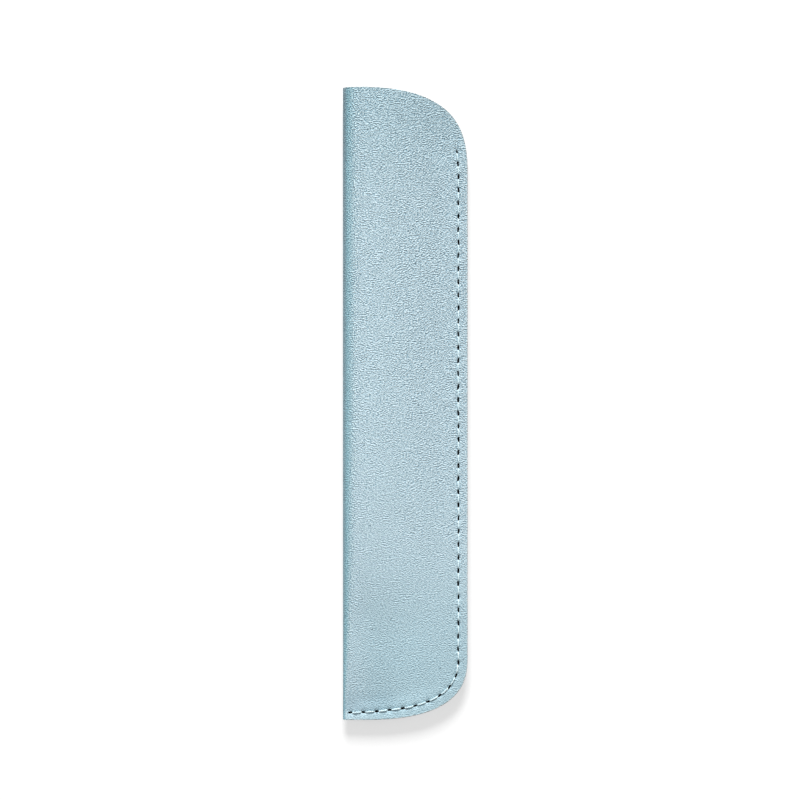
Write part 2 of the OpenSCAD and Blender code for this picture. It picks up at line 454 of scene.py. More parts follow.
def flat_u(station, y):
    """How far across the flat pattern a station lies."""
    at = along_sleeve(y, SHAPE)
    quarter = math.pi / 4 * (at["depth"] + at["rise"])
    turn = np.clip(station, -1, 1)
    return turn * quarter + np.sign(station) * np.maximum(np.abs(station) - 1, 0) * STATION_RUN


def pattern(made):
    """The whole flat pattern, welded: u, y, station and edge distance, and its triangles."""
    flat, triangles, to_edge, rows = made
    reach = np.maximum(flat[:, 0] - np.array([crown_x(y) for y in flat[:, 1]]), 0)
    reach[reach < ON_THE_CROWN] = 0
    front = 1 + reach / STATION_RUN
    turns = np.linspace(-1, 1, FOLD_TURNS + 1)
    fold_y, fold_station = (a.ravel() for a in np.meshgrid(rows, turns, indexing="ij"))
    fold_edge = np.minimum(fold_y - rows[0], rows[-1] - fold_y)
    row, column = np.meshgrid(np.arange(len(rows) - 1), np.arange(FOLD_TURNS), indexing="ij")
    first = (row * (FOLD_TURNS + 1) + column).ravel()
    above = first + FOLD_TURNS + 1
    fold = np.vstack([
        np.column_stack([first, first + 1, above + 1]),
        np.column_stack([first, above + 1, above]),
    ])
    n = len(flat)
    station = np.concatenate([front, -front, fold_station])
    y = np.concatenate([flat[:, 1], flat[:, 1], fold_y])
    edge = np.concatenate([to_edge, to_edge, fold_edge])
    faces = np.vstack([triangles, triangles[:, ::-1] + n, fold + 2 * n])
    u = np.array([flat_u(s, v) for s, v in zip(station, y)])
    keys = np.round(np.column_stack([u, y]) / MM, WELD_DECIMALS)
    _, kept, welded = np.unique(keys, axis=0, return_index=True, return_inverse=True)
    faces = welded.ravel()[faces]
    whole = (faces != np.roll(faces, 1, axis=1)).all(axis=1)
    return np.column_stack([u, y])[kept], station[kept], edge[kept], faces[whole]


# %% [markdown]
# The sheet becomes a slab with a top, an underside and a cut edge between them. The Solidify
# modifier could thicken it, but the real edge is rounded a little where the die pressed the coat
# down, and the materials and the fold have to know how deep and how near the cut each point lies.
# So the layers are set out here, and what each point knows is kept in attributes.

# %% Make the flat slab
EDGE_ROUND = 0.14 * MM
LEAST_ROUND = 1e-6 * MM
RIM_ROWS = 4
WORN_WIDTH = 1.2 * MM


def new_object(name, data):
    made = bpy.data.objects.new(name, data)
    bpy.context.scene.collection.objects.link(made)
    return made


def rim_edges(faces):
    """The directed edges that only one triangle uses."""
    edges = np.vstack([faces[:, [0, 1]], faces[:, [1, 2]], faces[:, [2, 0]]])
    keys = np.sort(edges, axis=1)
    _, first, uses = np.unique(keys, axis=0, return_index=True, return_counts=True)
    return edges[first[uses == 1]]


def slab(name, made, top, bottom, rounding):
    """A closed flat slab between two depths under the outside of the sleeve."""
    sheet, station, edge, faces = pattern(made)
    near = np.clip(1 - edge / max(rounding, LEAST_ROUND), 0, 1)
    sunk = rounding * (1 - np.sqrt(1 - near ** 2))
    rim = rim_edges(faces)
    corners = np.unique(rim)
    place = {v: i for i, v in enumerate(corners)}
    rings = []
    for share in np.linspace(0, 1, RIM_ROWS + 1)[1:-1]:
        depth = top + blend(sunk[corners], bottom - top, share)
        rings.append(np.column_stack([sheet[corners], -depth]))
    points = np.vstack([
        np.column_stack([sheet, -top - sunk]),
        np.column_stack([sheet, np.full(len(sheet), -bottom)]),
        *rings,
    ])
    n = len(sheet)

    def rim_index(v, row):
        if row in (0, RIM_ROWS):
            return int(v) + (n if row else 0)
        return 2 * n + (row - 1) * len(corners) + place[v]

    walls = [
        (rim_index(b, row), rim_index(a, row), rim_index(a, row + 1), rim_index(b, row + 1))
        for a, b in rim
        for row in range(RIM_ROWS)
    ]
    mesh = bpy.data.meshes.new(name)
    mesh.from_pydata(points.tolist(), [], [*faces.tolist(), *(faces[:, ::-1] + n).tolist(), *walls])
    stations, to_edge = (
        np.concatenate([values, values, *[values[corners]] * len(rings)])
        for values in (station, edge)
    )
    attributes = {
        "station": stations,
        "layer": (-points[:, 2] - top) / (bottom - top),
        "wear": np.clip(1 - to_edge / WORN_WIDTH, 0, 1),
        "bend": np.clip(1 - np.abs(stations), 0, 1),
    }
    for label, values in attributes.items():
        mesh.attributes.new(label, "FLOAT", "POINT").data.foreach_set("value", values)
    flat = mesh.uv_layers.new(name="flat")
    corner_points = np.zeros(len(mesh.loops), int)
    mesh.loops.foreach_get("vertex_index", corner_points)
    flat.data.foreach_set("uv", points[corner_points, :2].astype(np.float32).ravel())
    piece = new_object(name, mesh)
    print(f"{name}: {len(mesh.vertices)} points, {len(mesh.polygons)} faces")
    a, b, c = (sheet[faces[:, k]] for k in range(3))
    cut = {"flat": tuple(np.ptp(sheet, axis=0)), "area": np.cross(b - a, c - a).sum() / 2}
    return piece, cut


leather, leather_cut = slab("leather_cover", fine_panel, 0, leather_t, EDGE_ROUND)
lining, lining_cut = slab("suede_lining", coarse_panel, leather_t, leather_t + LINING, 0)
width, length = (side / MM for side in leather_cut["flat"])
print(f"cut {width:.1f} x {length:.1f} mm, {leather_cut['area'] / MM ** 2:.0f} square mm")

# %% [markdown]
# A material is a small tree of its own. `new_material` starts one with a Principled shader whose
# constant values are set on its sockets, and hands back the shader and a wire to build on. The
# other helpers make what each finish of the sleeve needs: colours as a screen shows them, a mix of
# two, noise, and a bump that stands for a real depth.

# %% Start materials
def colour(red, green, blue):
    """An sRGB colour, 0 to 255 as on a screen, as the linear values that a shader works in."""
    shares = [value / 255 for value in (red, green, blue)]
    linear = [s / 12.92 if s <= 0.04045 else ((s + 0.055) / 1.055) ** 2.4 for s in shares]
    return (*linear, 1.0)


def new_material(name, **constants):
    material = bpy.data.materials.new(name)
    material.use_nodes = True
    shader = material.node_tree.nodes["Principled BSDF"]
    for label, value in constants.items():
        shader.inputs[label.replace("_", " ")].default_value = value
    return material, shader, Wire(material.node_tree)


def mixed(share, a, b, kind="MIX"):
    """One colour into another by a share."""
    start = share if isinstance(share, Wire) else a
    return start.add(
        "ShaderNodeMix", {"data_type": "RGBA", "blend_type": kind}, {0: share, 6: a, 7: b}, 2
    )


def connect(wire, shader, label):
    wire.tree.links.new(wire.socket, shader.inputs[label])


def attribute(start, name):
    return start.add("ShaderNodeAttribute", {"attribute_name": name}, None, "Fac")


def place_on(start):
    """Where a point lies on its object, in metres."""
    return start.add("ShaderNodeTexCoord", None, None, "Object")


def noise(vector, scale, detail=2.0, output=0, dimensions="2D"):
    return vector.add(
        "ShaderNodeTexNoise",
        {"noise_dimensions": dimensions},
        {"Vector": vector, "Scale": scale, "Detail": detail},
        output,
    )


def emboss(shader, height, depth, strength=1.0):
    """Raises the surface by a height that runs from 0 to 1 and stands for a depth in metres."""
    bump = height.add(
        "ShaderNodeBump", None, {"Strength": strength, "Distance": depth, "Height": height}
    )
    connect(bump, shader, "Normal")


# %% [markdown]
# The coat on this leather is embossed with a fine grain: short ridges and pebbles under a
# millimetre long that lie mostly across the sleeve. It could be an image, but noise and Voronoi
# cells on the flat pattern's own coordinates never repeat and need no file. A slow noise first
# bends the coordinates, so that the rows wander as on a real hide, and the grain grows fainter
# towards the closed end, as on the real sleeve.

# %% Write the grain
RIDGES_PER_MM = (2.5, 3.8)
RIDGE_HEIGHT = 1.9
RIDGE_DETAIL = 0.5
PEBBLES_PER_MM = (2.1, 3.1)
PEBBLE_HEIGHT = 0.5
PEBBLE_RADIUS = 0.45
PEBBLE_SOFTNESS = 0.2
WANDERS_PER_MM = 0.25
WANDER = 0.5
GRAIN_AT_CLOSED_END = 0.48
GRAIN_AT_MOUTH = 1.7


def flat_in_mm(start):
    """The flat pattern's coordinates in millimetres."""
    return scaled(start.add("ShaderNodeUVMap", {"uv_map": "flat"}), 1 / MM)


def stretched(vector, across, along):
    return vector_math("MULTIPLY", vector, (across, along, 1))


def cells(vector, scale, smoothness):
    """The distance to the nearest of many scattered points."""
    return vector.add(
        "ShaderNodeTexVoronoi",
        {"voronoi_dimensions": "2D", "feature": "SMOOTH_F1"},
        {"Vector": vector, "Scale": scale, "Smoothness": smoothness},
    )


def wandering(vector, scale, amount):
    """The coordinates pushed about by a slow noise."""
    push = vector_math("SUBTRACT", noise(vector, scale, 1.0, "Color"), (0.5, 0.5, 0.5))
    return vector_math("MULTIPLY_ADD", push, (amount,) * 3, vector)


def share_along(flat):
    """How far along the sleeve a point lies: 0 at the closed end, 1 at the mouth."""
    return separated(flat)[1] / (2 * half_l / MM) + 0.5


def grain(start):
    """The height of the embossed grain, about 0 in its valleys to 1 on its ridges."""
    flat = flat_in_mm(start)
    bent = wandering(flat, WANDERS_PER_MM, WANDER)
    ridges = noise(stretched(bent, *RIDGES_PER_MM), 1.0, RIDGE_DETAIL) - 0.5
    pebbles = PEBBLE_RADIUS - cells(stretched(bent, *PEBBLES_PER_MM), 1.0, PEBBLE_SOFTNESS)
    strength = blend(GRAIN_AT_CLOSED_END, GRAIN_AT_MOUTH, share_along(flat))
    return (ridges * RIDGE_HEIGHT + pebbles * PEBBLE_HEIGHT) * strength + 0.5


# %% [markdown]
# Tints multiply the coat with painted shade where its colour differs. On the fold, painted shade
# makes it deeper and greener, and darkest at the very edge. Both ends take a little painted shade,
# slightly green, the sewn side is painted a touch darker as painted shade, and painted shade darkens
# the leather where it dips into the seam across the closed end. Beside the fold the peaks of the
# grain get a painted highlight. Each tint comes in by a ramp between two named places: shares of
# the sleeve's length counted from the closed end, shares of the fold's turn, or millimetres out
# from the middle of the fold.

# %% Colour the coat
COAT = colour(189, 216, 228)
# Painted shade for the grain's valleys, then a painted highlight for its peaks, mixed in by its
# height.
COAT_VALLEY_SHADE = colour(124, 162, 180)
COAT_PEAK_HIGHLIGHT = colour(229, 248, 254)
COAT_SHARE = 0.26
# Painted highlight: beside the fold the grain's peaks are painted pale, where the fold turns to the
# light.
FOLD_HIGHLIGHT = colour(225, 248, 254)
FOLD_HIGHLIGHT_SHARE = 0.7
FOLD_HIGHLIGHT_FROM = (0.06, 0.26)
FOLD_HIGHLIGHT_LESS = (0.35, 0.65)
PEAKS = (0.25, 0.75)
# Painted shade: the sewn side is painted darker, more towards the closed end than at the mouth.
SEWN_SIDE_SHADE = (0.9, 0.9, 0.9, 1)
SEWN_SIDE_SHADE_FROM = (14, 34)
SEWN_SIDE_SHADE_AT_ENDS = (1.3, 0.6)
# Painted shade: both ends are painted a little darker and greener, the closed end less so beside the
# fold.
MOUTH_END_SHADE = (0.885, 0.93, 0.935, 1)
MOUTH_END_SHADE_FROM = (0.8, 1)
CLOSED_END_SHADE = (0.835, 0.90, 0.905, 1)
CLOSED_END_SHADE_FROM = (0.3, 0.08)
CLOSED_END_SHADE_BY_FOLD = 0.3
CLOSED_END_SHADE_ASIDE = (3, 11)
SEAM_SHADE = (0.79, 0.82, 0.84, 1)
SEAM_SHADE_FROM = (0.055, 0.025)
SEAM_SHADE_OVER = (0.018, 0.01)
SEAM_SHADE_ASIDE = (20, 10)
# Painted shade: the fold's round is painted deeper and greener, and darkest at its very edge.
FOLD_TEAL_SHADE = (0.62, 0.86, 0.90, 1)
FOLD_TEAL_SHADE_FROM = (0.2, 0.62)
FOLD_SHADE = (0.68, 0.60, 0.62, 1)
FOLD_SHADE_FROM = (0.5, 0.75)
FOLD_SHADE_AT_CLOSED_END = 0.45
SPECK = colour(70, 96, 110)
SPECK_SIZE = 0.014
SPECKS_PER_MM = 0.07
SPECK_SHARE = 0.7


def tinted(coat, share, tint):
    return mixed(share, coat, tint, "MULTIPLY")


def coat_shares(start):
    """How much of each painted shade a point has, with its tint."""
    flat = flat_in_mm(start)
    along = share_along(flat)
    aside = calculate("ABSOLUTE", separated(flat)[0])
    bend = attribute(start, "bend")
    off_fold = blend(CLOSED_END_SHADE_BY_FOLD, 1, ramp(aside, *CLOSED_END_SHADE_ASIDE))
    above_seam = ramp(along, *SEAM_SHADE_FROM) * (1 - ramp(along, *SEAM_SHADE_OVER))
    at_mouth = blend(FOLD_SHADE_AT_CLOSED_END, 1, along)
    # Every share below is painted shade: the sewn side, both ends, above the end seam and on the
    # fold.
    return [
        (ramp(aside, *SEWN_SIDE_SHADE_FROM) * blend(*SEWN_SIDE_SHADE_AT_ENDS, along), SEWN_SIDE_SHADE),
        (ramp(along, *MOUTH_END_SHADE_FROM), MOUTH_END_SHADE),
        (ramp(along, *CLOSED_END_SHADE_FROM) * off_fold, CLOSED_END_SHADE),
        (above_seam * ramp(aside, *SEAM_SHADE_ASIDE), SEAM_SHADE),
        (ramp(bend, *FOLD_TEAL_SHADE_FROM), FOLD_TEAL_SHADE),
        (ramp(bend, *FOLD_SHADE_FROM) * at_mouth, FOLD_SHADE),
    ]


def coat_colour(start, height):
    """The coat: grain with painted shade and highlight, a painted highlight by the fold, painted
    shade, specks.
    """
    bend = attribute(start, "bend")
    # A band of painted highlight on the grain's peaks where the fold starts to turn, half as strong
    # further in.
    fold_highlight = ramp(bend, *FOLD_HIGHLIGHT_FROM) * (1 - ramp(bend, *FOLD_HIGHLIGHT_LESS) / 2)
    highlit_coat = mixed(ramp(height, *PEAKS), COAT_VALLEY_SHADE, FOLD_HIGHLIGHT)
    # The grain's height mixes in painted shade in its valleys and a painted highlight on its peaks.
    coat = mixed(COAT_SHARE, mixed(height, COAT_VALLEY_SHADE, COAT_PEAK_HIGHLIGHT), COAT)
    coat = mixed(fold_highlight * FOLD_HIGHLIGHT_SHARE, coat, highlit_coat)
    for share, tint in coat_shares(start):
        coat = tinted(coat, share, tint)
    distance = cells(flat_in_mm(start), SPECKS_PER_MM, 0.0)
    specks = calculate("GREATER_THAN", SPECK_SIZE, distance)
    return mixed(specks * SPECK_SHARE, coat, SPECK)


# %% [markdown]
# At the cut edge the coat gives way to the pale fabric that backs it, in a line that is a little
# ragged where the die and the hand have worn the coat off. The slab's own "layer" attribute says
# how deep in the leather a point lies, and "wear" how near it is to the cut.

# %% Make the leather
GRAIN_DEPTH = 0.19 * MM
BACKING = colour(216, 219, 216)
BACKING_DARK = colour(184, 188, 186)
BACKING_FROM = (0.16, 0.24)
BACKING_NAP = 0.3
FIBRES_PER_M = 2600.0
WEAR_FROM = (0.72, 1.02)
WEAR_SHARE = 0.7
RAGGED = 0.45
RAGS_PER_MM = 1.6
VALLEY_ROUGHNESS = 0.56
PEAK_ROUGHNESS = 0.44


def make_leather():
    material, shader, start = new_material("powder_blue_leather", Roughness=0.5, IOR=1.46)
    backed = ramp(attribute(start, "layer"), *BACKING_FROM)
    height = grain(start)
    coat = coat_colour(start, height)
    fibres = noise(place_on(start), FIBRES_PER_M, dimensions="3D")
    backing = mixed(fibres, BACKING_DARK, BACKING)
    ragged = attribute(start, "wear") + (noise(flat_in_mm(start), RAGS_PER_MM) - 0.5) * RAGGED
    worn = mixed(ramp(ragged, *WEAR_FROM) * WEAR_SHARE, coat, backing)
    connect(mixed(backed, worn, backing), shader, "Base Color")
    connect(blend(VALLEY_ROUGHNESS, PEAK_ROUGHNESS, height), shader, "Roughness")
    emboss(shader, blend(height, fibres * BACKING_NAP, backed), GRAIN_DEPTH)
    return material


leather_material = make_leather()
print("leather material:", len(leather_material.node_tree.nodes), "nodes")

# %% [markdown]
# What repeats or follows a rule is made by Geometry Nodes. A tree is built in the script, with a
# named input for each of its sizes, and ends the same way each time: its instances are realized,
# because the export drops instances, and its material is set. Running it on a piece gives the piece
# a plain mesh, with no modifier left on it.

# %% Build geometry trees
def new_tree(name, inputs):
    """A geometry tree with named inputs after its geometry. Returns it and its input wires."""
    tree = bpy.data.node_groups.new(name, "GeometryNodeTree")
    tree.interface.new_socket("Geometry", in_out="OUTPUT", socket_type="NodeSocketGeometry")
    tree.interface.new_socket("Geometry", in_out="INPUT", socket_type="NodeSocketGeometry")
    for label, kind in inputs.items():
        tree.interface.new_socket(label, in_out="INPUT", socket_type="NodeSocket" + kind)
    source = tree.nodes.new("NodeGroupInput")
    return tree, {s.name: Wire(tree, s) for s in source.outputs if s.name}


def end_tree(tree, geometry, material=None):
    """Realizes the instances, sets the material and sends the geometry out."""
    whole = geometry.add("GeometryNodeRealizeInstances", None, {"Geometry": geometry})
    if material:
        whole = whole.add(
            "GeometryNodeSetMaterial", None, {"Geometry": whole, "Material": material}
        )
    output = tree.nodes.new("NodeGroupOutput")
    tree.links.new(whole.socket, output.inputs[0])
    return tree


def run_tree(piece, tree, values):
    """Gives a piece the tree's result as its plain mesh."""
    modifier = piece.modifiers.new(tree.name, "NODES")
    modifier.node_group = tree
    for item in tree.interface.items_tree:
        if item.in_out == "INPUT" and item.name in values:
            modifier[item.identifier] = values[item.name]
    bpy.context.view_layer.update()
    graph = bpy.context.evaluated_depsgraph_get()
    mesh = bpy.data.meshes.new_from_object(piece.evaluated_get(graph), depsgraph=graph)
    piece.modifiers.remove(modifier)
    piece.data = mesh
    mesh.name = piece.name
    print(f"{tree.name} on {piece.name}: {len(mesh.vertices)} points, {len(mesh.polygons)} faces")
    return piece


def geometry_of(piece):
    return piece.add("GeometryNodeObjectInfo", None, {"Object": piece}, "Geometry")


def combined(start, x, y, z):
    return start.add("ShaderNodeCombineXYZ", None, {0: x, 1: y, 2: z})


def shifted(points, offset):
    return points.add("GeometryNodeSetPosition", None, {"Geometry": points, "Offset": offset})


def random_value(start, low, high, seed, size=1):
    """A random number, or a random vector where size is 3, for each element."""
    if size == 3:
        return start.add(
            "FunctionNodeRandomValue", {"data_type": "FLOAT_VECTOR"}, {0: low, 1: high, 8: seed}
        )
    return start.add(
        "FunctionNodeRandomValue", {"data_type": "FLOAT"}, {2: low, 3: high, 8: seed}, 1
    )


# %% [markdown]
# The needle's marks come first, because three things share them: the groove in the leather, the
# holes and the stitches. The tree divides the seam line into equal stitches and lets each mark
# stray a little, as a sewing machine does. The chain of marks is a helper and is deleted later.

# %% Mark the seam
MARK_STRAY = 0.06 * MM
MARK_SEED = 4


def marks_tree():
    tree, inputs = new_tree(
        "Seam marks", {"Stitches": "Int", "Stray": "Float", "Seed": "Int"}
    )
    line = inputs["Geometry"].add("GeometryNodeMeshToCurve", None, {0: inputs["Geometry"]})
    evenly = line.add(
        "GeometryNodeResampleCurve", None, {"Curve": line, "Count": inputs["Stitches"] + 1}
    )
    stray = inputs["Stray"]
    low = combined(stray, -stray, -stray, 0)
    high = combined(stray, stray, stray, 0)
    strayed = shifted(evenly, random_value(evenly, low, high, inputs["Seed"], 3))
    chain = strayed.add("GeometryNodeCurveToMesh", None, {"Curve": strayed})
    return end_tree(tree, chain)


def line_object(name, line):
    mesh = bpy.data.meshes.new(name)
    links = [(i, i + 1) for i in range(len(line) - 1)]
    mesh.from_pydata([(x, y, 0) for x, y in line], links, [])
    return new_object(name, mesh)


marks = run_tree(
    line_object("seam_marks", SEAM),
    marks_tree(),
    {"Stitches": stitches, "Stray": MARK_STRAY, "Seed": MARK_SEED},
)

# %% [markdown]
# Folding is one rule applied to every point of the slab, which is what Geometry Nodes do best.
# The tree reads each point's station and its depth in the slab, finds the same place on the folded
# outside, and sets the point back from there, square to the surface. The square direction comes
# from the rule itself, taken a small step to either side. Near the seam the thread pulls the coat
# down into a shallow groove, deepest at the holes, and between the fold and the seam the leather
# sinks here and there by up to a quarter of a millimetre, as it does when it has been handled.

# %% Fold the slab
PROBE = 0.004
GROOVE_DEPTH = 0.17 * MM
GROOVE_WIDTH = 0.36 * MM
PIT_DEPTH = 0.16 * MM
PIT_WIDTH = 0.75 * MM
UNEVENNESS = 0.25 * MM
SWELLS_PER_M = 55.0


def fold_tree():
    sizes = {label: "Float" for label in SHAPE}
    tree, inputs = new_tree("Fold", {
        **sizes, "Leather": "Float", "Groove": "Float", "Pit": "Float", "Unevenness": "Float",
        "Marks": "Object", "Material": "Material",
    })
    start = inputs["Geometry"]
    _, y, height = separated(start.add("GeometryNodeInputPosition"))
    station = start.add(
        "GeometryNodeInputNamedAttribute", {"data_type": "FLOAT"}, {"Name": "station"}
    )
    at = along_sleeve(y, inputs)
    x, z = section(station, at)
    x_after, z_after = section(station + PROBE, at)
    x_before, z_before = section(station - PROBE, at)
    run, rise = x_after - x_before, z_after - z_before
    length = calculate("SQRT", run * run + rise * rise)

    chain = geometry_of(inputs["Marks"])
    place = combined(start, x, y, 0)
    to_line, to_hole = (
        chain.add(
            "GeometryNodeProximity",
            {"target_element": element},
            {"Geometry": chain, "Sample Position": place},
            "Distance",
        )
        for element in ("EDGES", "POINTS")
    )
    line_share = to_line / GROOVE_WIDTH
    hole_share = to_hole / PIT_WIDTH
    pull = inputs["Groove"] * calculate("EXPONENT", -(line_share * line_share))
    pull = pull + inputs["Pit"] * calculate("EXPONENT", -(hole_share * hole_share))
    depth = -height
    pull = pull * clamped(1 - depth / inputs["Leather"])

    across = clamped((calculate("ABSOLUTE", station) - 1) * STATION_RUN / (at["press"] - at["crown"]))
    bulge = across * (1 - across) * 4
    swell = noise(place, SWELLS_PER_M, 1.0) * inputs["Unevenness"] * bulge
    inward = (depth + pull + swell) / length
    folded = combined(start, x + rise * inward, y, z - run * inward)
    moved = start.add("GeometryNodeSetPosition", None, {"Geometry": start, "Position": folded})
    return end_tree(tree, moved, inputs["Material"])


fold = fold_tree()
print("fold tree:", len(fold.nodes), "nodes")
FOLD_VALUES = {**SHAPE, "Leather": leather_t, "Unevenness": UNEVENNESS, "Marks": marks}
run_tree(
    leather,
    fold,
    {**FOLD_VALUES, "Groove": GROOVE_DEPTH, "Pit": PIT_DEPTH, "Material": leather_material},
)

# %% [markdown]
# The lining is a thin microfibre, brushed on the pocket's side. Only its cut edge and the inside
# of the mouth show. Its nap is too fine to model, so short noise in the colour and the bump does
# it, with a slower noise where the nap has been stroked one way or the other.

# %% Make the lining
NAP_DEPTH = 0.05 * MM
NAP_STRENGTH = 0.8
NAP = colour(172, 180, 184)
NAP_DARK = colour(138, 148, 154)
NAP_PER_MM = (9, 4)
NAP_CONTRAST = 0.8
STROKES_PER_MM = 0.12
STROKE_CONTRAST = 0.9


def make_lining():
    material, shader, start = new_material(
        "brushed_microfibre", Roughness=0.9, Sheen_Weight=0.25, Sheen_Roughness=0.5
    )
    flat = flat_in_mm(start)
    fibres = noise(stretched(flat, *NAP_PER_MM), 1.0, 3.0)
    stroked = noise(flat, STROKES_PER_MM) - 0.5
    share = clamped(fibres * NAP_CONTRAST + stroked * STROKE_CONTRAST)
    connect(mixed(share, NAP_DARK, NAP), shader, "Base Color")
    emboss(shader, fibres, NAP_DEPTH, NAP_STRENGTH)
    return material


lining_material = make_lining()
run_tree(lining, fold, {**FOLD_VALUES, "Groove": 0.0, "Pit": 0.0, "Material": lining_material})

# %% [markdown]
# Each needle hole is a slit with pointed ends, about half as long as a stitch, and dark inside. A
# dark patch in the material could stand for it, but in a low light only a real hole looks deep. One
# cutter is made. It stops just above the lining, whose fibres close round the thread.

# %% Shape the hole cutter
HOLE_LENGTH = 1.75 * MM
HOLE_WIDTH = 0.55 * MM
HOLE_DEPTH = 0.82 * MM
HOLE_SIDES = 14
HOLE_TAPER = (0.9, 1.15)
# Painted shade: the hole's walls and floor are painted near black for the deep shadow inside the
# slit.
HOLE_SHADE_DARK = colour(8, 14, 18)
HOLE_SHADE_EDGE = colour(26, 38, 44)
HOLE_FIBRES_PER_M = 4000.0


def tapered(wave, power):
    return np.sign(wave) * np.abs(wave) ** power


def make_hole_shade_material():
    material, shader, start = new_material("needle_hole", Roughness=0.95)
    shade = noise(place_on(start), HOLE_FIBRES_PER_M, 1.0)
    # The near-black colour of the walls and floor is painted shade.
    connect(mixed(shade, HOLE_SHADE_DARK, HOLE_SHADE_EDGE), shader, "Base Color")
    return material


def cutter_object():
    """A prism with a pointed oval section, from the hole's floor to well above the leather."""
    angle = np.linspace(0, 2 * math.pi, HOLE_SIDES, endpoint=False)
    x = HOLE_LENGTH / 2 * tapered(np.cos(angle), HOLE_TAPER[0])
    y = HOLE_WIDTH / 2 * tapered(np.sin(angle), HOLE_TAPER[1])
    low = [(a, b, -HOLE_DEPTH) for a, b in zip(x, y)]
    high = [(a, b, HOLE_DEPTH) for a, b in zip(x, y)]
    n = HOLE_SIDES
    sides = [(i, (i + 1) % n, (i + 1) % n + n, i + n) for i in range(n)]
    mesh = bpy.data.meshes.new("hole_cutter")
    mesh.from_pydata(low + high, [], [tuple(range(n))[::-1], tuple(range(n, 2 * n)), *sides])
    mesh.materials.append(make_hole_shade_material())
    return new_object("hole_cutter", mesh)


cutter = cutter_object()
print("hole cutter in mm:", [round(side / MM, 2) for side in cutter.dimensions])

# %% [markdown]
# One hole sits at each mark, on the front and again on the back. The tree sets copies of the cutter
# along the chain and subtracts them all at once, each turned and sized a little differently. The
# slits grow a little shorter and wider towards the fold, and the first one, which holds a single
# leg of thread, is much shorter and sits closer to that leg.

# %% Punch the needle holes
FIRST_HOLE_SHARE = 0.62
FIRST_HOLE_SLIDE = 0.35 * MM
FOLD_HOLE_LENGTH = 0.85
MOUTH_HOLE_WIDTH = 0.9
HOLE_TILT = 0.16
HOLE_SPREAD = 0.15
HOLE_SEED = 11
X_THEN_Z = {"primary_axis": "X", "secondary_axis": "Z"}


def punch_tree():
    tree, inputs = new_tree("Needle holes", {
        "Marks": "Object", "Cutter": "Object", "Front": "Float", "Back": "Float",
        "Stitches": "Int", "Seed": "Int",
    })
    start = inputs["Geometry"]
    chain = geometry_of(inputs["Marks"])
    line = chain.add("GeometryNodeMeshToCurve", None, {0: chain})
    tilts = [(side * HOLE_TILT, side * HOLE_TILT, 0) for side in (-1, 1)]
    tilt = random_value(line, *tilts, inputs["Seed"], 3)
    tangent = line.add("GeometryNodeInputTangent")
    along = vector_math("ADD", tangent, tilt)
    spreads = [(1 + side * HOLE_SPREAD, 1 + side * HOLE_SPREAD, 1) for side in (-1, 1)]
    spread = random_value(line, *spreads, inputs["Seed"] + 1, 3)
    sewn = line.add("GeometryNodeSplineParameter")
    first = 1 - clamped(sewn * inputs["Stitches"])
    length = blend(1, FOLD_HOLE_LENGTH, sewn) * blend(1, FIRST_HOLE_SHARE, first)
    width = blend(MOUTH_HOLE_WIDTH, 1, sewn)
    size = vector_math("MULTIPLY", spread, combined(line, length, width, 1))
    slide = scaled(tangent, first * FIRST_HOLE_SLIDE)
    instance = geometry_of(inputs["Cutter"])
    both = start.add("GeometryNodeJoinGeometry")
    for label, up in (("Front", 1), ("Back", -1)):
        lifted = shifted(line, vector_math("ADD", slide, combined(line, 0, 0, inputs[label])))
        turned = line.add("FunctionNodeAxesToRotation", X_THEN_Z, {0: along, 1: (0, 0, up)})
        copies = lifted.add(
            "GeometryNodeInstanceOnPoints",
            None,
            {"Points": lifted, "Instance": instance, "Rotation": turned, "Scale": size},
        )
        tree.links.new(copies.socket, both.socket.node.inputs[0])
    solid = both.add("GeometryNodeRealizeInstances", None, {"Geometry": both})
    punched = start.add(
        "GeometryNodeMeshBoolean",
        {"operation": "DIFFERENCE", "solver": "EXACT"},
        {"Mesh 1": start, "Mesh 2": solid},
    )
    return end_tree(tree, punched)


run_tree(leather, punch_tree(), {
    "Marks": marks, "Cutter": cutter, "Front": front_z, "Back": seam_lift,
    "Stitches": stitches, "Seed": HOLE_SEED,
})

# %% [markdown]
# The thread is three plies twisted together. Each stitch comes up out of one hole, lies on the
# leather and goes down into the next, so it is an arch with steep legs and a nearly flat top: half
# of a squarish superellipse. One arch is swept with its three plies, and that is all that both rows
# need.

# %% Sweep one stitch
PLIES = 3
PLY_SIDES = 7
STITCH_RINGS = 44
TWIST_PITCH = 1.3 * MM
THREAD_SINK = 0.06 * MM
LEG_DEPTH = 0.75 * MM
LEG_INSET = 0.76 * MM
ARCH_SQUARENESS = 4.0


def arch(length):
    """The stitch's centre line in its own X and Z, with even steps between its points."""
    angle = np.linspace(math.pi, 0, LINE_STEPS)
    power = 2 / ARCH_SQUARENESS
    x = (length / 2 - LEG_INSET) * tapered(np.cos(angle), power)
    top = THREAD / 2 - THREAD_SINK
    z = (LEG_DEPTH + top) * np.clip(np.sin(angle), 0, 1) ** power - LEG_DEPTH
    line = np.column_stack([x, z])
    total = np.hypot(*np.diff(line, axis=0).T).sum()
    return resampled(line, total / (STITCH_RINGS - 1)), total


